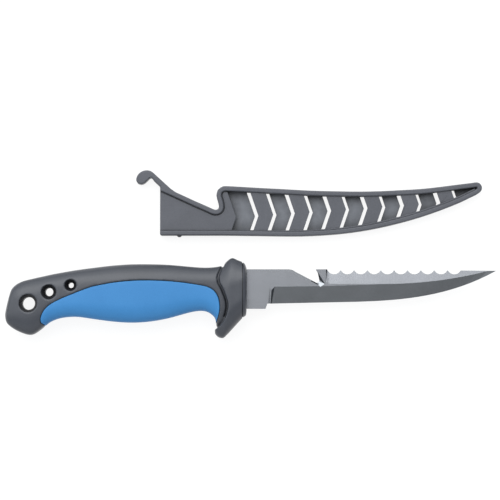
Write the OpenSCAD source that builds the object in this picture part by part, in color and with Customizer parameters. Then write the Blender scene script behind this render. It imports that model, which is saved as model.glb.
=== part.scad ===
// Fishing knife with a serrated, notched blade, a two-part moulded handle and a vented sheath.
// Units are millimetres. The knife and its sheath lie flat on z = 0, the blade along +X,
// the back of the blade towards +Y. The origin is under the middle of the whole outline.

/* [Blade] */
// Length of the blade from the guard's face to the tip
blade_l = 127; // [115:1:135]
// Thickness of the blade steel
blade_t = 1.8; // [1.4:0.1:2.2]
// Thickness left at the cutting edge before honing
edge_t = 0.35; // [0.2:0.05:0.6]
// Height of the ricasso, the flat part beside the guard
ricasso_h = 20.1; // [18:0.5:21]
// Length of the ricasso along its lower side
ricasso_l = 9.6; // [6:0.2:10]
// How far the cutting edge lies above the bottom of the ricasso
heel_rise = 2.65; // [1.5:0.05:4]
// How far the tip lies below the line of the back
tip_drop = 0.75; // [0.6:0.05:2]
// Width of each of the two steps in which the bevel plunges from the ricasso
plunge_w = 0.35; // [0.2:0.05:0.6]
// Height of the ground bevel at the heel
bevel_h = 8.8; // [6:0.05:9.5]
// Thickness of the blade's back along the scaler
scaler_t = 0.9; // [0.6:0.1:1.4]

/* [Blade notch and scaler] */
// Distance from the guard to the deepest corner of the line notch
notch_x = 37.5; // [34:0.1:40]
// Depth of that corner below the line of the back
notch_d = 9; // [6:0.1:9.5]
// Width of the tooth beside the notch, at the line of the back
tooth_w = 5.85; // [4:0.05:7]
// Height of the thinned strip that carries the scaler
scaler_h = 7.45; // [5:0.05:8]
// How far the peaks of the scaler lie below the line of the back
scaler_drop = 0.6; // [0.3:0.05:0.8]
// Width of the shoulder between the tooth's flat and the thinned strip
shoulder_w = 0.65; // [0.4:0.05:1]
// Number of scallops in the fish scaler
scallop_n = 10; // [6:1:11]
// Pitch of the scallops
scallop_pitch = 6.8; // [5.5:0.1:7]
// Depth of a scallop
scallop_d = 1.92; // [1.2:0.02:2.2]
// Width left flat on the peak between two scallops
peak_w = 0.35; // [0.2:0.05:1]

/* [Tang] */
// Length of the tang inside the handle
tang_l = 78; // [65:1:80]
// Height of the tang behind its shoulder
tang_h = 13; // [10:0.5:14]
// Height of the tang at its end
tang_end_h = 8; // [6:0.5:10]
// Diameter of the keying holes in the tang
tang_hole_d = 5.5; // [4:0.5:6.5]
// Number of keying holes in the tang
tang_hole_n = 3; // [2:1:4]

/* [Handle] */
// Length of the handle from the butt to the guard's face
handle_l = 122.7; // [115:0.1:130]
// Height of the handle over the belly
grip_h = 29.7; // [27:0.1:32]
// Thickness of the handle over the belly
handle_t = 18.4; // [16:0.2:19]
// Thickness of the guard
guard_t = 20; // [19.2:0.2:22]
// Thickness of the soft grip moulding
grip_skin = 2.4; // [1.8:0.1:3]
// Gap of the parting line between the two mouldings
parting_gap = 0.12; // [0.05:0.01:0.2]
// Diameters of the three butt holes, from the butt inwards
butt_hole_ds = [6.5, 4.2, 2.9];
// Diameters to which those holes flare at the surface
butt_flare_ds = [9.3, 7.6, 5.8];
// Depth of the flares
butt_flare_d = 4.2; // [2:0.1:5]
// Width of the groove behind the guard's collar
groove_w = 1.3; // [0.8:0.1:2]
// Depth of that groove
groove_d = 0.9; // [0.4:0.1:1.5]
// Thickness of the guard's front flange
flange_w = 1.8; // [1.2:0.1:3]
// Width and depth of the line behind that flange
flange_line = 0.45; // [0.3:0.05:0.8]

/* [Sheath] */
// Length of the sheath from its mouth to its tip
sheath_l = 164.6; // [150:0.1:175]
// Height of the sheath at its mouth
mouth_h = 24.9; // [24.2:0.1:27]
// Thickness of the sheath over its raised rim
sheath_t = 6.8; // [6.4:0.1:8]
// Height of the raised rim above the wall on each side
rim_rise = 0.9; // [0.4:0.1:1.2]
// Width of the raised rim
rim_w = 2.5; // [2.2:0.1:3]
// How much the lower side of the rim widens from the mouth to the tip
rim_more = 1.1; // [0:0.1:1.4]
// Width of the fine line along the rim over the thumb slope
line_w = 0.5; // [0.3:0.05:0.8]
// Depth of that line
line_d = 0.5; // [0.3:0.05:0.7]
// Wall left outside the blade slot along the rim
rim_wall = 1.05; // [0.8:0.05:1.2]
// Clearance of the blade in the sheath on each side
blade_fit = 0.35; // [0.2:0.05:0.4]
// Width of the gate mark on the sheath's lower edge
gate_w = 2.7; // [1:0.1:4]
// Distance of the gate mark from the mouth
gate_x = 9.8; // [6:0.2:40]
// Thickness of the snap hook
hook_t = 6; // [5:0.2:6.4]
// Number of chevron slots through the sheath
slot_n = 12; // [8:1:12]
// Pitch of the chevron slots
slot_pitch = 9.31; // [8.5:0.01:9.4]
// Width of the chevron slots
slot_w = 1.65; // [1.2:0.05:2]
// Angle of the chevrons' legs from upright
slot_lean = 19; // [12:1:25]
// How far the closed front panel ends before the line of its first chevron
panel_back = 1.2; // [0.8:0.1:2]

/* [Layout] */
// How far the mouth of the sheath lies behind the guard's face
aside_x = 44.2; // [20:0.1:60]
// How far the sheath lies to the side of the knife
aside_y = 38.9; // [37:0.1:60]

/* [Hidden] */
$fn = 48;
// Length that cuts run past a surface
over = 1;
// Steps in which a curve runs from one chosen point or section to the next
curve_steps = 2;
// Points round each ring of a lofted handle
ring_points = 24;
// Squareness of the handle's sections, where 2 is an ellipse
section_power = 2.35;
guard_power = 2.7;

// Line notch as shares of notch_x and notch_d: ramp, sharpened floor, hooked side of the tooth
notch_shares = [[0.568, 0], [0.615, -0.028], [0.643, -0.085], [0.667, -0.152], [0.955, -0.772],
    [0.995, -0.649], [0.987, -0.440], [0.971, -0.242], [0.947, -0.062], [0.940, 0]];
// Ground facets of the notch: two points of the thin edge, one behind them and, as a share of
// the edge's length, how far the parallel back line runs on from there
facet_shares = [
    [[0.885, -0.622], [0.980, -0.825], [0.878, -0.681], 1],
    [[0.953, -0.778], [0.999, -0.636], [1.000, -1.000], 1.25],
    [[0.998, -0.694], [0.926, -0.205], [1.063, -0.821], 1.35]];
// How far the cut of a facet runs on past its thin edge, as a share of its width
facet_past_share = 0.12;
notch_pts = [for (p = notch_shares) [p[0] * notch_x, p[1] * notch_d]];
tooth_end_x = notch_pts[len(notch_pts) - 1][0] + tooth_w;
scaler_end_x = tooth_end_x + scallop_n * scallop_pitch;
scallop_r = (pow((scallop_pitch - peak_w) / 2, 2) + pow(scallop_d, 2)) / (2 * scallop_d);
heel_x = ricasso_l + heel_rise;
heel_y = -ricasso_h + heel_rise;
// Shallow hollow between the ricasso's slope and the heel
heel_hollow_l = 1;
heel_hollow_d = 0.1;

// Where the bevel reaches its full depth, and the place and depth share of its first step
plunge_x = heel_x + plunge_w;
plunge_gap = 2 * plunge_w;
plunge_step_share = 0.3;
scaler_slope = (blade_t - scaler_t) / 2 / scaler_h;

// Length of the tang's full height as a share of ricasso_h, and how far the tang lies below
// the middle of the ricasso
tang_shoulder_share = 0.25;
tang_drop = 0.7425;

// Curve of the cutting edge: a slight rise, then a sweep to the tip
edge_rise_share = 0.13;
edge_sweep_share = 0.285;
edge_power = 3.05;
edge_straight_rise = edge_rise_share * ricasso_h * (blade_l - heel_x) / blade_l;
edge_sweep = -tip_drop - heel_y - edge_straight_rise;
sweep_x = heel_x + edge_sweep_share * (blade_l - heel_x);
function edge_y(x) = heel_y + edge_straight_rise * (x - heel_x) / (blade_l - heel_x)
    + edge_sweep * pow(max(0, x - sweep_x) / (blade_l - sweep_x), edge_power);

// How much a line still lies inside a round corner of radius r that ends at x
function corner(x, r) = r - sqrt(pow(r, 2) - pow(min(r, max(0, x)), 2));

// Upper line of the bevel: level, then straight up, then a sweep that ends on the spine
bevel_top = heel_y + bevel_h;
bevel_power = 2.3;
bevel_rise_share = 0.32;
function blade_x(share) = heel_x + share * (blade_l - heel_x);
bevel_rise_x = blade_x(0.2);
bevel_sweep_x = blade_x(0.52);
bevel_end_x = blade_x(0.965);
bevel_slope = bevel_rise_share * bevel_h / (blade_l - bevel_rise_x);
bevel_sweep = -tip_drop - bevel_top - bevel_slope * (bevel_end_x - bevel_rise_x);
bevel_corner_share = 0.3;
bevel_corner = bevel_corner_share * bevel_h;
function bevel_y(x) = min(-tip_drop, bevel_top + bevel_slope * max(0, x - bevel_rise_x)
    + bevel_sweep * pow(max(0, x - bevel_sweep_x) / (bevel_end_x - bevel_sweep_x), bevel_power))
    - corner(plunge_x + bevel_corner - x, bevel_corner);

// Lower line of the scaler's strip, which starts with a round corner beside the tooth
scaler_corner_share = 0.16;
scaler_corner = scaler_corner_share * scaler_h;
function scaler_y(x) = max(bevel_y(x), -scaler_h)
    + corner(tooth_end_x + scaler_corner - x, scaler_corner);

// Number of stations along the grinds, and how they draw together towards the guard
bevel_steps = 26;
bevel_spread = 1.3;
scaler_spread = 1.6;
// How far above the flat a grind starts, and the shortest width of a grind
grind_lift = 0.02;
grind_least = 0.1;

// Smooth curve through rows of numbers
function between(a, b, c, d, t) = ((-a + 3 * b - 3 * c + d) * pow(t, 3)
    + (2 * a - 5 * b + 4 * c - d) * pow(t, 2) + (c - a) * t + 2 * b) / 2;
function smooth(rows, steps) = [
    for (i = [0 : len(rows) - 2], s = [0 : steps - 1])
        between(rows[max(i - 1, 0)], rows[i], rows[i + 1],
            rows[min(i + 2, len(rows) - 1)], s / steps),
    rows[len(rows) - 1]];
function sized(shares, w, h) = [for (p = shares) [p[0] * w, p[1] * h]];

// Sections of the handle from the butt forwards: the top point and the bottom point as shares
// of handle_l and grip_h, and the half thickness as a share of half handle_t
handle_shares = [
    [-0.985, -0.490, -1.000, -0.770, 0.25],
    [-0.976, -0.377, -0.998, -0.840, 0.45],
    [-0.970, -0.327, -0.991, -0.929, 0.61],
    [-0.953, -0.259, -0.965, -1.017, 0.72],
    [-0.926, -0.202, -0.931, -1.088, 0.77],
    [-0.893, -0.168, -0.892, -1.131, 0.79],
    [-0.865, -0.141, -0.864, -1.074, 0.80],
    [-0.839, -0.118, -0.841, -1.000, 0.82],
    [-0.807, -0.088, -0.813, -0.902, 0.83],
    [-0.766, -0.057, -0.770, -0.835, 0.86],
    [-0.705, -0.013, -0.709, -0.811, 0.90],
    [-0.644, 0.020, -0.646, -0.845, 0.94],
    [-0.562, 0.062, -0.563, -0.892, 0.98],
    [-0.481, 0.086, -0.481, -0.916, 1.00],
    [-0.398, 0.088, -0.398, -0.896, 0.99],
    [-0.315, 0.076, -0.315, -0.832, 0.95],
    [-0.232, 0.044, -0.232, -0.734, 0.89],
    [-0.167, 0.027, -0.175, -0.710, 0.86],
    [-0.116, 0.046, -0.141, -0.785, 0.86],
    [-0.094, 0.076, -0.127, -0.875, 0.86],
    [-0.060, 0.090, -0.123, -1.005, 0.86],
    [-0.020, 0.040, -0.075, -0.985, 0.82]];

// Sections of the guard in the same shares, with the half thickness a share of half guard_t
guard_shares = [
    [-0.120, 0.010, -0.131, -1.071, 0.86],
    [-0.104, 0.047, -0.1295, -1.111, 0.91],
    [-0.093, 0.086, -0.117, -1.162, 0.95],
    [-0.076, 0.154, -0.103, -1.177, 0.98],
    [-0.0587, 0.1933, -0.091, -1.162, 1],
    [-0.037, 0.155, -0.054, -1.000, 1],
    [-0.0155, 0.120, -0.016, -0.828, 1],
    [-0.006, 0.082, -0.0025, -0.788, 0.93],
    [0, 0.013, 0, -0.700, 0.85]];

// Rear edge of the guard's raised collar, from the back of the knife down to the horn
collar_shares = [
    [-0.088, 0.120], [-0.092, 0.071], [-0.102, -0.017], [-0.111, -0.110], [-0.1125, -0.178],
    [-0.108, -0.250], [-0.098, -0.323], [-0.087, -0.431], [-0.078, -0.539], [-0.075, -0.640],
    [-0.080, -0.758], [-0.093, -0.889], [-0.112, -0.985], [-0.140, -1.050]];

// Lower end of the groove along that edge
groove_low_share = -0.88;

// First of the handle's sections that the core under the grip starts from
core_first = 6;

// Upper edge of the soft grip, from the belly at the butt round to the horn
grip_shares = [
    [-0.837, -0.950], [-0.849, -0.910], [-0.849, -0.828], [-0.841, -0.744], [-0.829, -0.675],
    [-0.808, -0.600], [-0.767, -0.512], [-0.712, -0.418], [-0.637, -0.304], [-0.540, -0.229],
    [-0.437, -0.195], [-0.334, -0.205], [-0.252, -0.238], [-0.190, -0.278], [-0.158, -0.310],
    [-0.135, -0.367], [-0.119, -0.455], [-0.1115, -0.562], [-0.1095, -0.673], [-0.114, -0.778],
    [-0.122, -0.882]];
// Corners that close the grip's region below the belly
grip_low_shares = [[-0.145, -1.300], [-0.800, -1.300]];

// Half thickness of the handle at the butt holes as a share of half handle_t
butt_half_share = 0.79;
// Centres of the butt holes as shares of handle_l and grip_h
butt_hole_shares = [[-0.901, -0.586], [-0.816, -0.391], [-0.726, -0.276]];

// Where the sheath's outline passes, as shares of sheath_l and mouth_h from the mouth's corner
// over the spine line: the upper rim from the notch to the tip, then the lower rim back
sheath_top_shares = [
    [0.178, 0.061], [0.183, 0.102], [0.192, 0.142], [0.204, 0.157], [0.250, 0.141], [0.313, 0.117],
    [0.374, 0.097], [0.437, 0.073], [0.498, 0.056], [0.561, 0.048], [0.623, 0.044],
    [0.685, 0.052], [0.747, 0.073], [0.809, 0.097], [0.871, 0.141], [0.933, 0.194],
    [0.964, 0.218], [0.980, 0.234]];
sheath_tip_shares = [[0.989, 0.228], [0.9955, 0.200], [0.9995, 0.152], [1.000, 0.100], [0.997, 0.055],
    [0.990, 0.012], [0.978, -0.034]];
sheath_low_shares = [
    [0.964, -0.076], [0.933, -0.176], [0.871, -0.339], [0.809, -0.480], [0.747, -0.597],
    [0.685, -0.694], [0.623, -0.770], [0.561, -0.823], [0.498, -0.855], [0.437, -0.871],
    [0.374, -0.871], [0.313, -0.864], [0.250, -0.859], [0.188, -0.855], [0.100, -0.855]];
// Slope and round bottom of the thumb notch, from the hook's root to the upper rim
thumb_shares = [[0.049, 0.028], [0.072, -0.040], [0.106, -0.145], [0.141, -0.246],
    [0.158, -0.298], [0.168, -0.325], [0.176, -0.327], [0.1815, -0.300], [0.1825, -0.246],
    [0.179, -0.145], [0.175, -0.040]];
// Outline of the snap hook, from the mouth's upper corner round the bead and back along the arm
hook_shares = [
    [-0.0195, 0.266], [-0.0255, 0.322], [-0.0295, 0.330], [-0.037, 0.290], [-0.046, 0.232],
    [-0.0575, 0.196], [-0.069, 0.216], [-0.0745, 0.276], [-0.0725, 0.350], [-0.066, 0.415],
    [-0.056, 0.461], [-0.046, 0.480], [-0.035, 0.478], [-0.0265, 0.456], [-0.0205, 0.425]];
hook_arm_shares = [[0.006, 0.266], [0.033, 0.101]];
mouth_top_share = 0.1435;
mouth_top = mouth_top_share * mouth_h;
mouth_low = mouth_top - mouth_h;
// Slope of the rim beside the thumb, and where its outer line meets the mouth
slope_run = (thumb_shares[1][1] - thumb_shares[0][1]) * mouth_h
    / ((thumb_shares[1][0] - thumb_shares[0][0]) * sheath_l);
slope_out = thumb_shares[0][1] * mouth_h - slope_run * thumb_shares[0][0] * sheath_l;

// Chevron slots: the first line only ends the closed panel, and the others go right through
slot_start_share = 0.2412;
slot_apex_shares = [0.300, -0.455];
slot_climb = 4.1;
slot_x0 = slot_apex_shares[0] * sheath_l;
slot_y0 = slot_apex_shares[1] * mouth_h;
slot_half = slot_w / 2 / cos(slot_lean);

// Walls of the sheath: rim, wall and blade slot are stacked about its middle plane
sheath_mid = sheath_t / 2;
wall_out = sheath_mid - rim_rise;
blade_slot = blade_t / 2 + blade_fit;
slot_low = -ricasso_h - blade_fit;
gate_sink_share = 0.2;

// Middle plane of the knife, which lies on its guard
knife_mid = guard_t / 2;

// Middle of the whole outline, which is the origin
horn_low = min([for (s = guard_shares) s[3]]) * grip_h;
hook_top = max([for (p = hook_shares) p[1]]) * mouth_h;
middle_x = (blade_l - handle_l) / 2;
middle_y = (aside_y + hook_top + horn_low) / 2;

// Puts a piece drawn about its own datum in its place on the table
module place(x, y, z) {
    translate([x - middle_x, y - middle_y, z]) children();
}

// Closed solid through rings of equally many points
module skin(rings) {
    n = len(rings[0]);
    m = len(rings);
    sides = [for (i = [0 : m - 2], j = [0 : n - 1]) let (k = (j + 1) % n)
        each [[i * n + j, (i + 1) * n + k, i * n + k], [i * n + j, (i + 1) * n + j, (i + 1) * n + k]]];
    first = [for (j = [0 : n - 1]) j];
    last = [for (j = [n - 1 : -1 : 0]) (m - 1) * n + j];
    polyhedron(points = [for (r = rings) each r], faces = concat(sides, [first, last]));
}

function signed_pow(v, p) = sign(v) * pow(abs(v), p);

// Ring round a section given by its top point, bottom point and half thickness
function ring(row, inset, power) =
    let (a = [row[0], row[1]], b = [row[2], row[3]], c = (a + b) / 2, d = norm(a - b) / 2,
        u = (a - b) / norm(a - b), half = row[4] - inset)
    [for (i = [0 : ring_points - 1]) let (w = 360 * i / ring_points,
        e = signed_pow(cos(w), 2 / power) * (d - inset), f = signed_pow(sin(w), 2 / power) * half)
        [c[0] + u[0] * e, c[1] + u[1] * e, f]];

function sections(shares, t) = [for (s = shares)
    [s[0] * handle_l, s[1] * grip_h, s[2] * handle_l, s[3] * grip_h, s[4] * t / 2]];

module handle_loft() {
    skin([for (r = smooth(sections(handle_shares, handle_t), curve_steps)) ring(r, 0, section_power)]);
}

// Core of the handle under the soft grip, which leaves room for its thickness
module handle_core(inset) {
    rows = [for (i = [core_first : len(handle_shares) - 1]) handle_shares[i]];
    skin([for (r = smooth(sections(rows, handle_t), curve_steps)) ring(r, inset, section_power)]);
}

module guard_loft(inset = 0) {
    skin([for (r = sections(guard_shares, guard_t)) ring(r, inset, guard_power)]);
}

module slab(t) {
    translate([0, 0, -t / 2]) linear_extrude(t) children();
}

// Region of the soft grip seen from the side, drawn in by a gap
module grip_region(gap = 0) {
    offset(delta = -gap) polygon(concat(smooth(sized(grip_shares, handle_l, grip_h), curve_steps),
        sized(grip_low_shares, handle_l, grip_h)));
}

module collar_region() {
    rear = smooth(sized(collar_shares, handle_l, grip_h), curve_steps);
    polygon(concat(rear, [[rear[len(rear) - 1][0], -2 * grip_h], [over, -2 * grip_h], [over, grip_h],
        [rear[0][0], grip_h]]));
}

// Region of the groove along the rear edge of the collar, which ends above the horn
module groove_region() {
    rear = [for (p = smooth(sized(collar_shares, handle_l, grip_h), curve_steps))
        if (p[1] > groove_low_share * grip_h) p];
    polygon(concat([for (p = rear) p + [over, 0]],
        [for (i = [len(rear) - 1 : -1 : 0]) rear[i] - [groove_w, 0]]));
}

module collar() {
    intersection() {
        guard_loft();
        slab(guard_t + over) collar_region();
    }
}

// Line round the guard behind its front flange
module flange_groove() {
    difference() {
        translate([-flange_w - flange_line, -2 * grip_h, -guard_t])
            cube([flange_line, 3 * grip_h, 2 * guard_t]);
        guard_loft(flange_line);
    }
}

module tang_outline(fit = 0) {
    shoulder = tang_shoulder_share * ricasso_h;
    top = (tang_h - ricasso_h) / 2 - tang_drop;
    difference() {
        offset(delta = fit) union() {
            translate([-shoulder, -ricasso_h]) square([shoulder + over, ricasso_h]);
            polygon([[-shoulder, top], [-tang_l, top - (tang_h - tang_end_h) / 2],
                [-tang_l, top - (tang_h + tang_end_h) / 2], [-shoulder, top - tang_h]]);
        }
        for (i = [1 : tang_hole_n])
            translate([-tang_l * i / (tang_hole_n + 1), top - tang_h / 2])
                circle(d = tang_hole_d - 2 * fit);
    }
}

// Blade seen from the side, with the notch, the scaler and the sweep of the edge
module blade_outline() {
    edge_pts = [for (i = [0 : bevel_steps]) let (x = blade_l - (blade_l - heel_x) * i / bevel_steps)
        [x, edge_y(x)]];
    difference() {
        polygon(concat([[0, 0]], notch_pts, [[tooth_end_x, 0], [tooth_end_x, -scaler_drop],
            [scaler_end_x, -scaler_drop], [blade_l, -tip_drop]],
            [for (p = edge_pts) if (p[0] < blade_l) p],
            [[heel_x - heel_hollow_l / 2, heel_y + heel_hollow_d], [ricasso_l + heel_hollow_l, heel_y],
            [ricasso_l, -ricasso_h], [0, -ricasso_h]]));
        for (i = [0 : scallop_n - 1])
            translate([tooth_end_x + (i + 0.5) * scallop_pitch,
                scallop_r - scaler_drop - scallop_d]) circle(r = scallop_r);
    }
}

// Grinds one side of the blade through rows of x, near line, far line and depth at the far line
module grind(rows, side) {
    skin([for (r = rows)
        let (run = max(abs(r[2] - r[1]), grind_least),
            past = r[2] + side * over,
            low = blade_t / 2 - r[3] * (run + over) / run,
            near = [r[0], r[1], blade_t / 2],
            section = [near, [r[0], past, low], [r[0], past, blade_t / 2 + over],
                near + [0, 0, over]])
        side > 0 ? section : [for (k = [3 : -1 : 0]) section[k]]]);
}

// Grinds a flat facet that rises from a thin edge to a parallel line behind it
module facet(shares) {
    edge = sized([shares[0], shares[1]], notch_x, notch_d);
    back_start = sized([shares[2]], notch_x, notch_d)[0];
    back = [back_start, back_start + shares[3] * (edge[1] - edge[0])];
    out_z = edge_t / 2 - facet_past_share * (blade_t - edge_t) / 2;
    skin([for (i = [0, 1]) let (out = edge[i] + facet_past_share * (edge[i] - back[i]))
        [[back[i][0], back[i][1], blade_t / 2], [out[0], out[1], out_z],
        [out[0], out[1], blade_t / 2 + over], [back[i][0], back[i][1], blade_t / 2 + over]]]);
}

module blade() {
    bevel_xs = [for (i = [0 : bevel_steps])
        plunge_x + (blade_l + over - plunge_x) * pow(i / bevel_steps, bevel_spread)];
    bevel_d = (blade_t - edge_t) / 2;
    steps = [[-2 * plunge_w - plunge_gap, -grind_lift], [-plunge_w - plunge_gap, plunge_step_share],
        [-plunge_w, plunge_step_share]];
    bevel_rows = concat(
        [for (p = steps) [plunge_x + p[0], bevel_y(plunge_x), edge_y(plunge_x), p[1] * bevel_d]],
        [for (x = bevel_xs) [x, bevel_y(x), edge_y(x), bevel_d]]);
    scaler_xs = [for (i = [0 : bevel_steps])
        tooth_end_x + (blade_l + over - tooth_end_x) * pow(i / bevel_steps, scaler_spread)];
    scaler_rows = concat(
        [[tooth_end_x - shoulder_w, scaler_y(tooth_end_x), 0, -grind_lift]],
        [for (x = scaler_xs) [x, scaler_y(x), 0, -scaler_slope * scaler_y(x)]]);
    color("silver") place(0, 0, knife_mid) difference() {
        union() {
            slab(blade_t) blade_outline();
            slab(blade_t) tang_outline();
        }
        for (side = [0, 1]) mirror([0, 0, side]) {
            grind(bevel_rows, -1);
            grind(scaler_rows, 1);
            for (f = facet_shares) facet(f);
        }
    }
}

module handle_body() {
    color("dimgray") place(0, 0, knife_mid) difference() {
        resize([0, 0, guard_t]) union() {
            difference() {
                handle_loft();
                slab(2 * handle_t) grip_region();
                difference() {
                    slab(2 * handle_t) groove_region();
                    handle_core(groove_d);
                }
            }
            handle_core(grip_skin);
            difference() {
                collar();
                flange_groove();
            }
        }
        slab(blade_t) tang_outline(parting_gap);
        for (i = [0 : len(butt_hole_shares) - 1])
            translate([butt_hole_shares[i][0] * handle_l, butt_hole_shares[i][1] * grip_h, 0])
                butt_hole(butt_hole_ds[i], butt_flare_ds[i]);
    }
}

// Through hole that flares towards both faces of the butt
module butt_hole(d, flare_d) {
    face_z = butt_half_share * handle_t / 2;
    cylinder(h = 2 * handle_t, d = d, center = true);
    for (side = [0, 1]) mirror([0, 0, side]) translate([0, 0, face_z - butt_flare_d])
        cylinder(h = 2 * butt_flare_d, d1 = d, d2 = 2 * flare_d - d);
}

module grip() {
    color("steelblue") place(0, 0, knife_mid) resize([0, 0, handle_t]) difference() {
        intersection() {
            handle_loft();
            slab(2 * handle_t) grip_region(parting_gap);
        }
        handle_core(grip_skin - parting_gap);
        collar();
    }
}

function sheath_pts(shares) = smooth(sized(shares, sheath_l, mouth_h), curve_steps);

module sheath_outline() {
    polygon(concat([[0, mouth_low], [0, mouth_top]], sized(hook_arm_shares, sheath_l, mouth_h),
        sheath_pts(concat(thumb_shares, sheath_top_shares, sheath_tip_shares, sheath_low_shares))));
}

module hook_outline() {
    root = sized(hook_arm_shares, sheath_l, mouth_h);
    polygon(concat([[0, mouth_top]], sheath_pts(hook_shares), root, [[root[1][0], 0]]));
}

// Centre line of chevron k, then the region on its left
function slot_apex(k) = [slot_x0 + (k - 1) * slot_pitch, slot_y0 + (k - 1) * slot_pitch * tan(slot_climb)];
function slot_line(k, shift) = let (a = slot_apex(k), h = mouth_h, d = h * tan(slot_lean))
    [[a[0] + shift - d, a[1] + h], [a[0] + shift, a[1]], [a[0] + shift - d, a[1] - h]];
module left_of(k, shift) {
    polygon(concat([[-mouth_h, 2 * mouth_h], [-mouth_h, -2 * mouth_h]],
        [for (i = [2 : -1 : 0]) slot_line(k, shift)[i]]));
}

// Band of the wall between chevron j and chevron k, with half a slot taken off each side
module band(j, k) {
    difference() {
        left_of(k, -slot_half);
        left_of(j, slot_half);
    }
}

// Region inside the rim, drawn in by some width, which is open at the mouth
module inside_rim(width) {
    slope_in = slope_out - width * sqrt(1 + slope_run * slope_run);
    slope_start = [-over, slope_in - over * slope_run];
    root_x = thumb_shares[0][0] * sheath_l;
    difference() {
        union() {
            offset(delta = -width) sheath_outline();
            polygon([slope_start, [2 * width, slope_in + 2 * width * slope_run],
                [2 * width, mouth_low + width], [-over, mouth_low + width]]);
        }
        polygon([slope_start, [root_x, slope_in + root_x * slope_run], [root_x, mouth_h],
            [-over, mouth_h]]);
    }
}

// Ledge along the lower side of the rim, half as high, which widens towards the tip
module low_rim() {
    low = concat(sheath_pts(concat([sheath_tip_shares[len(sheath_tip_shares) - 1]], sheath_low_shares)),
        [[0, mouth_low]]);
    polygon(concat(low, [for (i = [len(low) - 1 : -1 : 0])
        low[i] + [0, rim_w + rim_more * low[i][0] / sheath_l]]));
}

module sheath() {
    slot_end = floor(slot_n / 2) * 2;
    color("dimgray") place(-aside_x, aside_y, sheath_mid) difference() {
        union() {
            difference() {
                slab(sheath_t) sheath_outline();
                slab(sheath_t + over) inside_rim(rim_w);
            }
            slab(sheath_t - rim_rise) low_rim();
            intersection() {
                slab(2 * wall_out) union() {
                    offset(delta = -rim_w / 2) sheath_outline();
                    intersection() {
                        sheath_outline();
                        translate([0, mouth_low + rim_w / 2]) square([rim_w, mouth_h - rim_w]);
                    }
                }
                union() {
                    linear_extrude(sheath_t) left_of(0, -panel_back);
                    for (k = [1 : 2 : slot_end - 1]) linear_extrude(sheath_t) band(k, k + 1);
                    mirror([0, 0, 1]) linear_extrude(sheath_t) left_of(1, -slot_half);
                    for (k = [2 : 2 : slot_end - 2])
                        mirror([0, 0, 1]) linear_extrude(sheath_t) band(k, k + 1);
                    mirror([0, 0, 1]) linear_extrude(sheath_t) difference() {
                        translate([0, -mouth_h]) square([sheath_l, 2 * mouth_h]);
                        left_of(slot_end, slot_half);
                    }
                }
            }
            slab(hook_t) hook_outline();
            slab(gate_w) intersection() {
                translate([gate_x, mouth_low + gate_sink_share * gate_w]) circle(d = gate_w);
                translate([0, -2 * mouth_h]) square([sheath_l, 2 * mouth_h - rim_w]);
            }
        }
        slab(2 * blade_slot) intersection() {
            offset(delta = -rim_wall) sheath_outline();
            translate([rim_w, slot_low]) square([sheath_l, 2 * mouth_h]);
        }
        slab(2 * blade_slot) translate([-over, slot_low])
            square([slot_start_share * sheath_l, blade_fit - slot_low]);
        for (side = [0, 1]) mirror([0, 0, side]) translate([0, 0, wall_out - line_d])
            linear_extrude(sheath_t) intersection() {
                difference() {
                    inside_rim(rim_w);
                    inside_rim(rim_w + line_w);
                }
                left_of(0, -panel_back);
                translate([-over, -mouth_h / 2]) square([sheath_l, mouth_h]);
            }
    }
}

blade();
handle_body();
grip();
sheath();
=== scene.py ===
"""Fishing knife with its sheath: moulded handle, soft grip, ground blade and vented sheath."""

import math

import bpy
from mathutils import Matrix, Vector


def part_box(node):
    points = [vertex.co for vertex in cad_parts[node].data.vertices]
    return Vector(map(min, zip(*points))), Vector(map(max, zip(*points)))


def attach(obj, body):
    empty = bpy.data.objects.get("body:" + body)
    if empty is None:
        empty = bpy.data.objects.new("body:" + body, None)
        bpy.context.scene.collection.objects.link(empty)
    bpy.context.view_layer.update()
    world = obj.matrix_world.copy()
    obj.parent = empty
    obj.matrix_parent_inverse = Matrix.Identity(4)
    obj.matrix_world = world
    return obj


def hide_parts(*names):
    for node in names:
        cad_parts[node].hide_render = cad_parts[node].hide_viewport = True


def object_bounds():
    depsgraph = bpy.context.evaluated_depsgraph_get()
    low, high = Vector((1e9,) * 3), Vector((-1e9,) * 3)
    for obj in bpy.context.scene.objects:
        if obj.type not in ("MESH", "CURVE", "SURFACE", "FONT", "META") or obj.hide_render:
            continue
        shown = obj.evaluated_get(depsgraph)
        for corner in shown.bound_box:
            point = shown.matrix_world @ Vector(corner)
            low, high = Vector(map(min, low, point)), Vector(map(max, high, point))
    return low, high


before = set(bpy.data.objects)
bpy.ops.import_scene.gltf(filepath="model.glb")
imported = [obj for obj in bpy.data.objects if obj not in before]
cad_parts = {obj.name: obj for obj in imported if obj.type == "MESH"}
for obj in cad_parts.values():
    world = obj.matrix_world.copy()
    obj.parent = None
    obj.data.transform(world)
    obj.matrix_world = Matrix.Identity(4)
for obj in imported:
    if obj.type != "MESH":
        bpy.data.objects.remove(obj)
cad_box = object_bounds()

MM = 0.001

# Knife datum: the guard's front face, the line of the blade's back, and the knife's middle plane.
# The horn reaches below that line and the guard's peak above it, by these shares of GRIP_H.
handle_low, handle_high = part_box("handle_body")
HORN_SHARE = 1.177
PEAK_SHARE = 0.1933
HANDLE_L = handle_high.x - handle_low.x
GRIP_H = (handle_high.y - handle_low.y) / (HORN_SHARE + PEAK_SHARE)
GUARD_T = handle_high.z - handle_low.z
GUARD_X = handle_high.x
BACK_Y = handle_high.y - PEAK_SHARE * GRIP_H
MIDDLE_Z = (handle_low.z + handle_high.z) / 2
grip_low, grip_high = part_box("grip")
HANDLE_T = grip_high.z - grip_low.z

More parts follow.
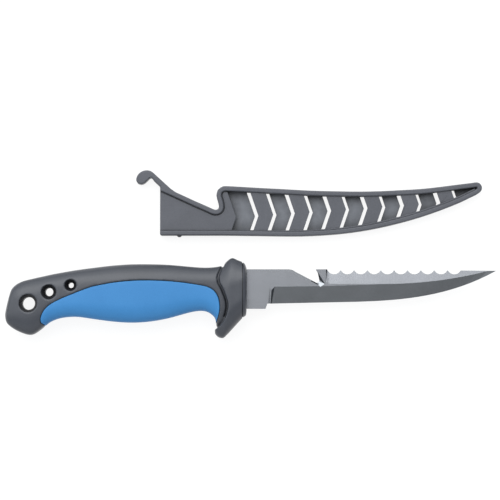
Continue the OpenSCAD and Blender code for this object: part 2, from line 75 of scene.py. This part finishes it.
# Sections of the handle from the butt forwards: top point and bottom point as shares of
# HANDLE_L and GRIP_H, and the half thickness as a share of half HANDLE_T
HANDLE_SECTIONS = [
    (-0.985, -0.490, -1.000, -0.770, 0.25), (-0.976, -0.377, -0.998, -0.840, 0.45),
    (-0.970, -0.327, -0.991, -0.929, 0.61), (-0.953, -0.259, -0.965, -1.017, 0.72),
    (-0.926, -0.202, -0.931, -1.088, 0.77), (-0.893, -0.168, -0.892, -1.131, 0.79),
    (-0.865, -0.141, -0.864, -1.074, 0.80), (-0.839, -0.118, -0.841, -1.000, 0.82),
    (-0.807, -0.088, -0.813, -0.902, 0.83), (-0.766, -0.057, -0.770, -0.835, 0.86),
    (-0.705, -0.013, -0.709, -0.811, 0.90), (-0.644, 0.020, -0.646, -0.845, 0.94),
    (-0.562, 0.062, -0.563, -0.892, 0.98), (-0.481, 0.086, -0.481, -0.916, 1.00),
    (-0.398, 0.088, -0.398, -0.896, 0.99), (-0.315, 0.076, -0.315, -0.832, 0.95),
    (-0.232, 0.044, -0.232, -0.734, 0.89), (-0.167, 0.027, -0.175, -0.710, 0.86),
    (-0.116, 0.046, -0.141, -0.785, 0.86), (-0.094, 0.076, -0.127, -0.875, 0.86),
    (-0.060, 0.090, -0.123, -1.005, 0.86), (-0.020, 0.040, -0.075, -0.985, 0.82)]
# The core under grip and groove leaves out the sections of the butt before this one
CORE_FIRST = 6

# Sections of the guard in the same shares, with the half thickness a share of half GUARD_T
GUARD_SECTIONS = [
    (-0.120, 0.010, -0.131, -1.071, 0.86), (-0.104, 0.047, -0.1295, -1.111, 0.91),
    (-0.093, 0.086, -0.117, -1.162, 0.95), (-0.076, 0.154, -0.103, -1.177, 0.98),
    (-0.0587, 0.1933, -0.091, -1.162, 1), (-0.037, 0.155, -0.054, -1.000, 1),
    (-0.0155, 0.120, -0.016, -0.828, 1), (-0.006, 0.082, -0.0025, -0.788, 0.93),
    (0, 0.013, 0, -0.700, 0.85)]

# Rear edge of the guard's collar, from the back of the knife down to the horn
COLLAR_LINE = [
    (-0.088, 0.120), (-0.092, 0.071), (-0.102, -0.017), (-0.111, -0.110), (-0.1125, -0.178),
    (-0.108, -0.250), (-0.098, -0.323), (-0.087, -0.431), (-0.078, -0.539), (-0.075, -0.640),
    (-0.080, -0.758), (-0.093, -0.889), (-0.112, -0.985), (-0.140, -1.050)]

# Upper edge of the soft grip, from the belly at the butt round to the horn, and the way back
# below the knife. The gap to the recess is drawn in towards the centre.
GRIP_LINE = [
    (-0.837, -0.950), (-0.849, -0.910), (-0.849, -0.828), (-0.841, -0.744), (-0.829, -0.675),
    (-0.808, -0.600), (-0.767, -0.512), (-0.712, -0.418), (-0.637, -0.304), (-0.540, -0.229),
    (-0.437, -0.195), (-0.334, -0.205), (-0.252, -0.238), (-0.190, -0.278), (-0.158, -0.310),
    (-0.135, -0.367), (-0.119, -0.455), (-0.1115, -0.562), (-0.1095, -0.673), (-0.114, -0.778),
    (-0.122, -0.882)]
GRIP_BELOW = [(-0.145, -1.300), (-0.800, -1.300)]
GRIP_CENTRE = (-0.45, -0.75)
GRIP_SKIN = 2.4 * MM
PARTING_GAP = 0.12 * MM

# Centres of the three butt holes in the same shares, with their bores and flares. The butt's
# faces lie at BUTT_HALF_SHARE of half HANDLE_T, and each flare goes down FLARE_DEPTH from there.
BUTT_HOLES = [
    (-0.901, -0.586, 6.5 * MM, 9.3 * MM), (-0.816, -0.391, 4.2 * MM, 7.6 * MM),
    (-0.726, -0.276, 2.9 * MM, 5.8 * MM)]
BUTT_HALF_SHARE = 0.79
FLARE_DEPTH = 4.2 * MM
HOLE_SIDES = 64

# Groove behind the collar, cut from a little under the collar and down to GROOVE_LOW
GROOVE_UNDER = 1 * MM
GROOVE_W = 1.3 * MM
GROOVE_D = 0.9 * MM
GROOVE_LOW = -0.88

# Flange at the very front of the guard, and the fine line behind it
FLANGE_W = 1.8 * MM
FLANGE_LINE = 0.45 * MM

# Places below all of the handle, above all of it and in front of it, in the same shares
BELOW_ALL = -2
ABOVE_ALL = 1
AHEAD = 0.02

# Steps of a curve from one row to the next, and how far a section's corners are rounded, where
# half its height and half its thickness count as 1
SECTION_STEPS = 2
GRIP_STEPS = 3
RING_CORNER = 0.68
GUARD_CORNER = 0.72
RING_SEGMENTS = 5
GUARD_SEGMENTS = 12

# Softened edges of the mouldings: the remeshed solids' cells, how often they are smoothed, the
# share of the handle's faces that is kept, and the edges that are shaded smooth, in degrees
HANDLE_VOXEL = 0.36 * MM
GRIP_VOXEL = 0.32 * MM
SMOOTH_ROUNDS = 5
HANDLE_FACES = 0.8
MOULDED_ANGLE = 60

# Merging distances, and the angle in degrees under which two faces count as one
WELD = 0.001 * MM
CURVE_WELD = 0.01 * MM
FLAT_ANGLE = 0.6

# The blade's edges are broken by a hair, and every change of slope by more than GRIND_ANGLE
# shows as a crisp line. NOTCH_END lies past the tooth and well before the tip.
EDGE_BREAK = 0.06 * MM
BREAK_ANGLE = 25
GRIND_ANGLE = 2.5
NOTCH_END = 50 * MM

# Only the sheath's rim and hook lie farther than RIM_LEAST from its middle plane. They get
# the full round, and the inner edges a share of it.
RIM_LEAST = 2.97 * MM
RIM_ROUND = 0.7 * MM
RIM_SEGMENTS = 4
INNER_SHARE = 0.25
SHARP_ANGLE = 30
SHEATH_ANGLE = 40

# The way a face looks tells its finish, and on the blade the darker finishes are painted shade.
# On the blade these are the least leans along the knife, across it on the notch's hooked side,
# and across it on bevel and strip. UP is how much of the way is straight up or down.
LEAN_ALONG = 0.1
LEAN_HOOKED = 0.05
LEAN_ACROSS = 0.03
PLUNGE_UP_LEAST, PLUNGE_UP_MOST = 0.3, 0.99
BEVEL_UP = 0.9
STRIP_UP = 0.8
# The walls and flares of the butt holes point up less than HOLE_UP and get painted shade, and the
# inner faces of the sheath's bands point to each other by more than BAND_UP and get painted light
HOLE_UP = 0.85
BAND_UP = 0.7

# Widths of the soft patches on the plastics and of the clouds on the steel
PATCH_W = 14 * MM
CLOUD_W = 9 * MM

# The camera's place and the point it looks at, along the knife from the guard's front face and
# across it from the blade's back, and the camera's height
CAMERA_X, CAMERA_Y, CAMERA_Z = -1.47 * MM, -51.07 * MM, 1.2026
AIM_X, AIM_Y = 1.75 * MM, 9.87 * MM
CAMERA_LENS = 168.9

# The table's width, and how fast the light of the room grows to the left, as a share of how
# fast it grows towards the back
FLOOR_SIZE = 12
LEFT_GROWTH = 0.35


def rest():
    """Leaves edit mode with nothing selected."""
    if bpy.context.object and bpy.context.object.mode != "OBJECT":
        bpy.ops.object.mode_set(mode="OBJECT")
    bpy.ops.object.select_all(action="DESELECT")


def take(obj):
    """Makes obj the only selected and active object."""
    rest()
    obj.select_set(True)
    bpy.context.view_layer.objects.active = obj


def edit(obj, mode="VERT"):
    """Opens obj in edit mode with all of it selected."""
    take(obj)
    bpy.ops.object.mode_set(mode="EDIT")
    bpy.ops.mesh.select_mode(type=mode)
    bpy.ops.mesh.select_all(action="SELECT")


def modify(obj, kind, **settings):
    """Adds a modifier with its settings and applies it."""
    take(obj)
    modifier = obj.modifiers.new(kind, kind)
    for key, value in settings.items():
        setattr(modifier, key, value)
    bpy.ops.object.modifier_apply(modifier=modifier.name)


def cut(obj, tool, operation="DIFFERENCE", solver="EXACT"):
    """Cuts obj with another solid, which is used up."""
    modify(obj, "BOOLEAN", object=tool, operation=operation, solver=solver)
    bpy.data.objects.remove(tool)


def turn(angle, axis="Z"):
    """Turns what is selected about an axis through the origin."""
    bpy.ops.transform.rotate(value=angle, orient_axis=axis, center_override=(0, 0, 0))


def shade(obj, degrees):
    """Shades obj smooth across edges up to this angle."""
    take(obj)
    bpy.ops.object.shade_smooth_by_angle(angle=math.radians(degrees))
    rest()


def between(a, b, c, d, t):
    """Value at the share t of the way from b to c, on a smooth curve through all four."""
    return ((-a + 3 * b - 3 * c + d) * t**3 + (2 * a - 5 * b + 4 * c - d) * t**2
            + (c - a) * t + 2 * b) / 2


def smooth(rows, steps):
    """A curve through rows of numbers, in this many steps from each row to the next."""
    last = len(rows) - 1
    found = []
    for i in range(last):
        near = [rows[max(i - 1, 0)], rows[i], rows[i + 1], rows[min(i + 2, last)]]
        for s in range(steps):
            found.append([between(*values, s / steps) for values in zip(*near)])
    found.append(list(rows[last]))
    return found


def on_knife(x_share, y_share):
    """Place in the knife's middle plane, from shares of the handle's length and height."""
    return Vector((GUARD_X + x_share * HANDLE_L, BACK_Y + y_share * GRIP_H, MIDDLE_Z))


def loft(name, sections, thickness, corner, inset=0.0, segments=RING_SEGMENTS):
    """Solid through rings that a rounded square passes through as it is extruded."""
    rest()
    bpy.ops.mesh.primitive_plane_add(size=2)
    body = bpy.context.object
    body.name = name
    edit(body)
    bpy.ops.mesh.bevel(
        offset=corner, offset_type="OFFSET", segments=segments, affect="VERTICES")
    bpy.ops.mesh.select_all(action="SELECT")
    turn(math.radians(-90), "Y")
    height, half, angle, centre = 1.0, 1.0, 0.0, Vector((0, 0, 0))
    for count, row in enumerate(sections):
        top, bottom = on_knife(row[0], row[1]), on_knife(row[2], row[3])
        up = top - bottom
        new = (up.length / 2 - inset, row[4] * thickness / 2 - inset,
               math.atan2(up.y, up.x) - math.radians(90), (top + bottom) / 2)
        if count:
            bpy.ops.mesh.extrude_region_move()
        bpy.ops.transform.translate(value=-centre)
        turn(angle)
        bpy.ops.transform.resize(
            value=(1, new[0] / height, new[1] / half), center_override=(0, 0, 0))
        turn(-new[2])
        bpy.ops.transform.translate(value=new[3])
        height, half, angle, centre = new
    bpy.ops.mesh.select_all(action="SELECT")
    bpy.ops.mesh.normals_make_consistent(inside=False)
    rest()
    return body


def prism(name, points):
    """Upright solid over an outline of places, higher and deeper than all of the knife."""
    low, high = MIDDLE_Z - GUARD_T, MIDDLE_Z + GUARD_T
    curve = bpy.data.curves.new(name, "CURVE")
    curve.dimensions = "2D"
    curve.fill_mode = "BOTH"
    curve.extrude = (high - low) / 2
    spline = curve.splines.new("POLY")
    spline.points.add(len(points) - 1)
    for point, place in zip(spline.points, points):
        point.co = (place[0], place[1], 0, 1)
    spline.use_cyclic_u = True
    solid = bpy.data.objects.new(name, curve)
    bpy.context.collection.objects.link(solid)
    solid.location.z = (low + high) / 2
    take(solid)
    bpy.ops.object.convert(target="MESH")
    solid = bpy.context.object
    bpy.ops.object.transform_apply(location=True, rotation=True, scale=True)
    edit(solid)
    bpy.ops.mesh.remove_doubles(threshold=CURVE_WELD)
    bpy.ops.mesh.normals_make_consistent(inside=False)
    rest()
    return solid


def soften(obj, voxel, faces=1.0):
    """Gives a cut solid the small round edges of a moulding, and keeps a share of its faces."""
    modify(obj, "REMESH", mode="VOXEL", voxel_size=voxel)
    modify(obj, "SMOOTH", factor=0.5, iterations=SMOOTH_ROUNDS)
    if faces < 1:
        modify(obj, "DECIMATE", ratio=faces)
    shade(obj, MOULDED_ANGLE)


def make_grip_region(name, gap):
    """Upright solid over the soft grip's side, drawn in by a gap."""
    line = smooth(GRIP_LINE, GRIP_STEPS)
    centre = on_knife(*GRIP_CENTRE)
    points = [on_knife(*share) for share in line + GRIP_BELOW]
    return prism(name, [p + (centre - p).normalized() * gap for p in points])


def make_handle_skin(name):
    """The outer form of handle and grip together."""
    skin = loft(name, smooth(HANDLE_SECTIONS, SECTION_STEPS), HANDLE_T, RING_CORNER)
    modify(skin, "SUBSURF", levels=2, render_levels=2)
    return skin


def make_core(name, inset):
    """The same form drawn in all round, which a cut into the handle stops at."""
    sections = smooth(HANDLE_SECTIONS[CORE_FIRST:], SECTION_STEPS)
    core = loft(name, sections, HANDLE_T, RING_CORNER, inset)
    modify(core, "SUBSURF", levels=1, render_levels=1)
    return core


def cut_collar_groove(body, line):
    """Cuts the groove that runs behind the collar."""
    beside = [on_knife(*share) for share in line if share[1] > GROOVE_LOW]
    groove = prism("groove", [p + Vector((GROOVE_UNDER, 0, 0)) for p in beside]
                   + [p - Vector((GROOVE_W, 0, 0)) for p in reversed(beside)])
    cut(groove, make_core("core", GROOVE_D))
    cut(body, groove)


def add_collar(body, line, guard):
    """Joins the guard to the handle, from the collar's rear edge forwards."""
    collar = loft("collar", guard, GUARD_T, GUARD_CORNER, segments=GUARD_SEGMENTS)
    ahead = [(line[-1][0], BELOW_ALL), (AHEAD, BELOW_ALL), (AHEAD, ABOVE_ALL),
             (line[0][0], ABOVE_ALL)]
    region = prism("collar_region", [on_knife(*share) for share in line + ahead])
    cut(collar, region, "INTERSECT")
    cut(body, collar, "UNION")


def drill_butt_holes(body):
    """Drills the three butt holes and flares them on both sides."""
    half = BUTT_HALF_SHARE * HANDLE_T / 2
    for x, y, bore, flare in BUTT_HOLES:
        place = on_knife(x, y)
        rest()
        bpy.ops.mesh.primitive_cylinder_add(
            vertices=HOLE_SIDES, radius=bore / 2, depth=2 * HANDLE_T, location=place)
        cut(body, bpy.context.object)
        for side in (-1, 1):
            rest()
            ends = (bore / 2, flare - bore / 2)
            bpy.ops.mesh.primitive_cone_add(
                vertices=HOLE_SIDES, radius1=ends[side < 0], radius2=ends[side > 0],
                depth=2 * FLARE_DEPTH, location=place + Vector((0, 0, side * half)))
            cut(body, bpy.context.object)


def cut_flange_line(body, guard):
    """Cuts the fine line that parts the guard from the flange at its front."""
    x = GUARD_X - FLANGE_W
    sides = [(x - FLANGE_LINE, BELOW_ALL), (x, BELOW_ALL), (x, ABOVE_ALL),
             (x - FLANGE_LINE, ABOVE_ALL)]
    line = prism("flange_line", [Vector((a, BACK_Y + b * GRIP_H, 0)) for a, b in sides])
    cut(line, loft("inside", guard, GUARD_T, GUARD_CORNER, FLANGE_LINE))
    cut(body, line, solver="MANIFOLD")


def make_handle():
    """The black moulding: butt, neck and guard in one, with the recess for the grip."""
    body = make_handle_skin("handle_moulding")
    recess = make_grip_region("recess", 0)
    cut(recess, make_core("core", GRIP_SKIN))
    cut(body, recess)
    collar_line = smooth(COLLAR_LINE, SECTION_STEPS)
    cut_collar_groove(body, collar_line)
    guard = smooth(GUARD_SECTIONS, SECTION_STEPS)
    add_collar(body, collar_line, guard)
    drill_butt_holes(body)
    soften(body, HANDLE_VOXEL, HANDLE_FACES)
    cut_flange_line(body, guard)
    shade(body, MOULDED_ANGLE)
    return body


def make_grip():
    """The soft grip, which fills the recess but for the parting gap."""
    grip = make_handle_skin("soft_grip")
    cut(grip, make_grip_region("region", PARTING_GAP), "INTERSECT")
    cut(grip, make_core("core", GRIP_SKIN - PARTING_GAP))
    soften(grip, GRIP_VOXEL)
    return grip


def merge_flat(piece, mode):
    """Opens a mesh in edit mode, and merges its doubles and the faces of each plane."""
    edit(piece, mode)
    bpy.ops.mesh.remove_doubles(threshold=WELD)
    bpy.ops.mesh.dissolve_limited(angle_limit=math.radians(FLAT_ANGLE))


def copy_node(node, name):
    """A merged copy of a frame's node, to be finished with rounded edges."""
    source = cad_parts[node]
    piece = bpy.data.objects.new(name, source.data.copy())
    bpy.context.collection.objects.link(piece)
    merge_flat(piece, "VERT")
    rest()
    return piece


def make_blade():
    """The blade, with crisp lines where two ground facets meet."""
    blade = copy_node("blade", "ground_blade")
    modify(blade, "BEVEL", width=EDGE_BREAK, segments=1, limit_method="ANGLE",
           angle_limit=math.radians(BREAK_ANGLE), use_clamp_overlap=False)
    shade(blade, GRIND_ANGLE)
    modify(blade, "WEIGHTED_NORMAL", keep_sharp=True, weight=100)
    return blade


def make_sheath():
    """The sheath, with its rim rounded more than its inner edges and its hook flush with it."""
    sheath = copy_node("sheath", "vented_sheath")
    low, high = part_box("sheath")
    middle = (low.z + high.z) / 2
    for vertex in sheath.data.vertices:
        if abs(vertex.co.z - middle) > RIM_LEAST:
            vertex.co.z = high.z if vertex.co.z > middle else low.z
    merge_flat(sheath, "EDGE")
    bpy.ops.mesh.select_all(action="DESELECT")
    bpy.ops.mesh.edges_select_sharp(sharpness=math.radians(SHARP_ANGLE))
    rest()
    weights = sheath.data.attributes.new("bevel_weight_edge", "FLOAT", "EDGE")
    for edge in sheath.data.edges:
        ends = [sheath.data.vertices[i].co.z for i in edge.vertices]
        on_rim = all(abs(z - middle) > RIM_LEAST for z in ends)
        weights.data[edge.index].value = edge.select * (1.0 if on_rim else INNER_SHARE)
    modify(sheath, "BEVEL", width=RIM_ROUND, segments=RIM_SEGMENTS, limit_method="WEIGHT",
           use_clamp_overlap=False)
    shade(sheath, SHEATH_ANGLE)
    modify(sheath, "WEIGHTED_NORMAL", keep_sharp=True, weight=100)
    return sheath


def colour(text):
    """An sRGB hex colour turned to linear values."""
    parts = [int(text[i:i + 2], 16) / 255 for i in (1, 3, 5)]
    return [p / 12.92 if p <= 0.04045 else ((p + 0.055) / 1.055) ** 2.4 for p in parts] + [1.0]


def new_material(name):
    """A material whose nodes are still to be added."""
    material = bpy.data.materials.new(name)
    material.use_nodes = True
    material.node_tree.nodes.clear()
    return material


def add_node(material, kind, settings=None, links=None, **inputs):
    """Adds a node with its settings, its input values and its links from other nodes' outputs."""
    node = material.node_tree.nodes.new(kind)
    for key, value in (settings or {}).items():
        setattr(node, key, value)
    for key, value in inputs.items():
        node.inputs[key.replace("_", " ")].default_value = value
    for key, output in (links or {}).items():
        material.node_tree.links.new(output, node.inputs[key])
    return node


def finish_material(material, shader):
    """Links the last shader of a material to its surface."""
    add_node(material, "ShaderNodeOutputMaterial", links={"Surface": shader})
    return material


def moulded_plastic(name, dark, light, roughness, grain, depth, reach=2.5 * MM):
    """Moulded polymer: two close tones in soft patches, painted shade that darkens its colour in
    grooves, holes and recesses within reach, and the fine grain of an eroded mould."""
    m = new_material(name)
    place = add_node(m, "ShaderNodeTexCoord").outputs["Object"]
    patches = add_node(m, "ShaderNodeTexNoise", links={"Vector": place},
                       Scale=1 / PATCH_W, Detail=3)
    spots = add_node(m, "ShaderNodeTexNoise", links={"Vector": place}, Scale=1 / grain, Detail=2)
    both = add_node(m, "ShaderNodeMath", {"operation": "ADD"},
                    {0: patches.outputs["Fac"], 1: spots.outputs["Fac"]})
    share = add_node(m, "ShaderNodeMath", {"operation": "MULTIPLY_ADD"}, {0: both.outputs[0]})
    share.inputs[1].default_value = 0.9
    share.inputs[2].default_value = -0.4
    ramp = add_node(m, "ShaderNodeMix", {"data_type": "RGBA"}, {0: share.outputs[0]})
    ramp.inputs[6].default_value = colour(dark)
    ramp.inputs[7].default_value = colour(light)
    # Painted shade: the colour is darkened wherever other surfaces are near, in grooves, holes
    # and recesses
    painted_shade = add_node(m, "ShaderNodeAmbientOcclusion", {"samples": 8},
                       {"Color": ramp.outputs[2]}, Distance=reach)
    bump = add_node(m, "ShaderNodeBump", links={"Height": spots.outputs["Fac"]},
                    Strength=0.35, Distance=depth)
    shader = add_node(m, "ShaderNodeBsdfPrincipled",
                      links={"Base Color": painted_shade.outputs["Color"],
                             "Normal": bump.outputs["Normal"]},
                      Roughness=roughness, IOR=1.49)
    return finish_material(m, shader.outputs["BSDF"])


def ground_steel(name, dark, light, across, roughness=0.26, line=0.5 * MM):
    """Stainless steel ground in one direction: fine straight lines and soft clouds of slightly
    changing tone. The lines are drawn coarser than the real ones, which are too fine to show."""
    m = new_material(name)
    place = add_node(m, "ShaderNodeTexCoord").outputs["Object"]
    stretched = add_node(m, "ShaderNodeMapping", links={"Vector": place}, Scale=across)
    lines = add_node(m, "ShaderNodeTexNoise", links={"Vector": stretched.outputs["Vector"]},
                     Scale=1 / line, Detail=3)
    clouds = add_node(m, "ShaderNodeTexNoise", links={"Vector": place},
                      Scale=1 / CLOUD_W, Detail=2)
    both = add_node(m, "ShaderNodeMath", {"operation": "ADD"},
                    {0: lines.outputs["Fac"], 1: clouds.outputs["Fac"]})
    share = add_node(m, "ShaderNodeMath", {"operation": "SUBTRACT"}, {0: both.outputs[0]})
    share.inputs[1].default_value = 0.5
    ramp = add_node(m, "ShaderNodeMix", {"data_type": "RGBA"}, {0: share.outputs[0]})
    ramp.inputs[6].default_value = colour(dark)
    ramp.inputs[7].default_value = colour(light)
    bump = add_node(m, "ShaderNodeBump", links={"Height": lines.outputs["Fac"]},
                    Strength=0.2, Distance=0.01 * MM)
    shader = add_node(m, "ShaderNodeBsdfPrincipled",
                      links={"Base Color": ramp.outputs[2], "Normal": bump.outputs["Normal"]},
                      Metallic=1.0, Roughness=roughness)
    return finish_material(m, shader.outputs["BSDF"])


# Polypropylene, injection moulded: charcoal black with a fine even grain and a soft sheen
black_polypropylene = moulded_plastic(
    "black_polypropylene", "#35383e", "#44474e", 0.34, 0.5 * MM, 0.03 * MM)
# The same polypropylene in the butt holes, near black: painted shade in the holes
shaded_bore_polypropylene = moulded_plastic(
    "shaded_bore_polypropylene", "#18191c", "#222327", 0.5, 0.5 * MM, 0.03 * MM)
# Thermoplastic rubber, moulded over: satin blue, close to matt, with hardly any grain
blue_rubber = moulded_plastic("blue_rubber", "#2b74ae", "#3881bc", 0.6, 0.6 * MM, 0.02 * MM)
# Polypropylene of the sheath, greyer and a little mottled where the moulding shrank, with its
# painted shade reaching far into the recesses
grey_polypropylene = moulded_plastic(
    "grey_polypropylene", "#46484e", "#54565d", 0.45, 0.7 * MM, 0.03 * MM, 6 * MM)
# The same polypropylene on the inner faces of the bands: cloudy, and paler as painted light that
# lifts the shade of the recess
lightened_core_polypropylene = moulded_plastic(
    "lightened_core_polypropylene", "#595c62", "#777a80", 0.5, 3 * MM, 0.03 * MM, 6 * MM)

# How the grinding lines are stretched, along the knife and across it
ALONG = (0.25, 2, 1)
CROSSWISE = (2, 0.25, 1)
# Stainless steel, ground along the flats to a satin finish: even and mid grey
satin_flat = ground_steel("satin_stainless_flat", "#8b8d91", "#989a9f", ALONG)
# Stainless steel, ground across the bevel: its colour a shade darker than the flats, painted
# shade on the face that leans towards the edge
shaded_bevel_steel = ground_steel("shaded_stainless_bevel", "#7f8285", "#8d9094", CROSSWISE)
# Stainless steel, ground across the strip by the scaler: bright, as it leans to the light
bright_strip = ground_steel("bright_stainless_strip", "#86888c", "#93959a", CROSSWISE)
# Stainless steel in the steep facets where a grinding wheel ran out: dark as painted shade, dull,
# with coarse scratches
shaded_plunge_steel = ground_steel("shaded_stainless_plunge", "#3c3f43", "#484b50", CROSSWISE, 0.35)


def give_finishes(obj, *materials):
    """Gives obj these materials in place of the ones it has."""
    obj.data.materials.clear()
    for material in materials:
        obj.data.materials.append(material)


def paint_blade(blade):
    """Gives each ground zone of the blade its own finish, by how the face is tilted: steep facets
    that look along the blade belong to plunge and notch and get the dark copy of the steel,
    painted shade; faces that lean towards the edge get the bevel's darker copy, also painted
    shade; and faces that lean towards the back go to the strip by the scaler."""
    give_finishes(blade, satin_flat, shaded_bevel_steel, bright_strip, shaded_plunge_steel)
    flat, bevel, strip, plunge = range(4)
    for face in blade.data.polygons:
        x, y, up = face.normal.x, face.normal.y, abs(face.normal.z)
        steep = PLUNGE_UP_LEAST < up < PLUNGE_UP_MOST
        hooked = x < -LEAN_ALONG and y < -LEAN_HOOKED
        near_guard = face.center.x < GUARD_X + NOTCH_END
        if near_guard and (x > LEAN_ALONG or hooked) and steep:
            face.material_index = plunge
        elif up > BEVEL_UP and y < -LEAN_ACROSS or x < -LEAN_ALONG:
            face.material_index = bevel
        elif up > STRIP_UP and y > LEAN_ACROSS:
            face.material_index = strip
        else:
            face.material_index = flat


def paint_handle(handle):
    """Gives the walls and flares of the butt holes a darker copy of the polypropylene, painted
    shade in the holes.
    """
    give_finishes(handle, black_polypropylene, shaded_bore_polypropylene)
    holes = [(on_knife(x, y).xy, flare / 2) for x, y, bore, flare in BUTT_HOLES]
    for face in handle.data.polygons:
        inside = any((face.center.xy - centre).length < reach for centre, reach in holes)
        face.material_index = int(inside and abs(face.normal.z) < HOLE_UP)


def paint_sheath(sheath):
    """Gives the inner faces of the bands a paler copy of the polypropylene, painted light that
    lifts the shade of the recess.
    """
    give_finishes(sheath, grey_polypropylene, lightened_core_polypropylene)
    low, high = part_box("sheath")
    middle = (low.z + high.z) / 2
    for face in sheath.data.polygons:
        in_back_wall = face.center.z < middle and face.normal.z > BAND_UP
        in_front_wall = face.center.z > middle and face.normal.z < -BAND_UP
        face.material_index = int(in_back_wall or in_front_wall)


def place_piece(obj, body, slot, *nodes):
    """Says which body a piece rides on and which nodes it stands for, which are hidden. The slot,
    for the finish it takes, is not used.
    """
    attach(obj, body)
    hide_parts(*nodes)


def make_floor():
    """A white studio table that shows white to the eye and still takes the object's shadow."""
    rest()
    bpy.ops.mesh.primitive_plane_add(size=FLOOR_SIZE, location=(0, 0, cad_box[0][2]))
    floor = bpy.context.object
    floor.name = "floor"
    m = new_material("white_table")
    path = add_node(m, "ShaderNodeLightPath")
    seen = add_node(m, "ShaderNodeMath", {"operation": "MAXIMUM"},
                    {0: path.outputs["Is Camera Ray"], 1: path.outputs["Is Glossy Ray"]})
    seen = add_node(m, "ShaderNodeMath", {"operation": "MAXIMUM"},
                    {0: seen.outputs[0], 1: path.outputs["Is Transmission Ray"]})
    plain = add_node(m, "ShaderNodeBsdfDiffuse", Color=colour("#c8c8c8"))
    faint = add_node(m, "ShaderNodeBsdfDiffuse", Color=colour("#6e6e6e"))
    glow = add_node(m, "ShaderNodeEmission", Color=(1, 1, 1, 1), Strength=0.88)
    white = add_node(m, "ShaderNodeAddShader", links={0: faint.outputs[0], 1: glow.outputs[0]})
    mixed = add_node(m, "ShaderNodeMixShader",
                     links={0: seen.outputs[0], 1: plain.outputs[0], 2: white.outputs[0]})
    give_finishes(floor, finish_material(m, mixed.outputs[0]))


def make_world():
    """A studio: bright above the knife's back and to its left, dim to the right, dark near the
    floor behind the knife, with a low fill in front."""
    world = bpy.data.worlds.new("studio")
    world.use_nodes = True
    bpy.context.scene.world = world
    world.node_tree.nodes.clear()
    way = add_node(world, "ShaderNodeTexCoord").outputs["Generated"]
    split = add_node(world, "ShaderNodeSeparateXYZ", links={0: way})
    aslant = add_node(world, "ShaderNodeMath", {"operation": "MULTIPLY_ADD"},
                      {0: split.outputs["X"], 2: split.outputs["Y"]})
    aslant.inputs[1].default_value = -LEFT_GROWTH
    smooth_step = {"interpolation_type": "SMOOTHSTEP"}
    behind = add_node(world, "ShaderNodeMapRange", smooth_step, {"Value": aslant.outputs[0]},
                      From_Min=-0.2, From_Max=0.45, To_Min=0.35, To_Max=1.85)
    front = add_node(world, "ShaderNodeMapRange", smooth_step, {"Value": split.outputs["Y"]},
                     From_Min=-0.7, From_Max=-0.15, To_Min=0.6, To_Max=0)
    rise = add_node(world, "ShaderNodeMapRange", smooth_step, {"Value": split.outputs["Z"]},
                    From_Min=0.03, From_Max=0.35, To_Min=0.08, To_Max=1)
    both = add_node(world, "ShaderNodeMath", {"operation": "MULTIPLY_ADD"},
                    {0: behind.outputs[0], 1: rise.outputs[0], 2: front.outputs[0]})
    seen = add_node(world, "ShaderNodeLightPath").outputs["Is Camera Ray"]
    light = add_node(world, "ShaderNodeBackground", links={"Strength": both.outputs[0]},
                     Color=(0.95, 0.975, 1, 1))
    white = add_node(world, "ShaderNodeBackground", Strength=1.0)
    shown = add_node(world, "ShaderNodeMixShader",
                     links={0: seen, 1: light.outputs[0], 2: white.outputs[0]})
    add_node(world, "ShaderNodeOutputWorld", links={"Surface": shown.outputs[0]})


def add_lamp(name, place, size, power):
    """A square soft box that faces the middle of the object."""
    lamp = bpy.data.objects.new(name, bpy.data.lights.new(name, "AREA"))
    lamp.data.shape = "SQUARE"
    lamp.data.size = size
    lamp.data.energy = power
    lamp.location = place
    lamp.rotation_euler = (-Vector(place)).to_track_quat("-Z", "Y").to_euler()
    bpy.context.collection.objects.link(lamp)


def make_camera():
    """The photograph's view: from above, a little from the knife's edge side."""
    camera = bpy.data.objects.new("camera", bpy.data.cameras.new("camera"))
    camera.data.lens = CAMERA_LENS
    camera.data.sensor_width = 36
    place = Vector((GUARD_X + CAMERA_X, BACK_Y + CAMERA_Y, CAMERA_Z))
    aim = Vector((GUARD_X + AIM_X, BACK_Y + AIM_Y, MIDDLE_Z))
    back = (place - aim).normalized()
    right = Vector((0, 1, 0)).cross(back).normalized()
    up = back.cross(right)
    turned = Matrix((right, up, back)).transposed().to_4x4()
    camera.matrix_world = Matrix.Translation(place) @ turned
    bpy.context.collection.objects.link(camera)
    bpy.context.scene.camera = camera


handle = make_handle()
paint_handle(handle)
place_piece(handle, "knife", "black_moulding", "handle_body")

grip = make_grip()
give_finishes(grip, blue_rubber)
place_piece(grip, "knife", "blue_grip", "grip")

blade = make_blade()
paint_blade(blade)
place_piece(blade, "knife", "blade_steel", "blade")

sheath = make_sheath()
paint_sheath(sheath)
place_piece(sheath, "sheath", "sheath_plastic", "sheath")

make_floor()
make_world()
add_lamp("key", place=(-0.5, 1.6, 3.0), size=2.4, power=40)
make_camera()
bpy.context.scene.view_settings.view_transform = "Standard"
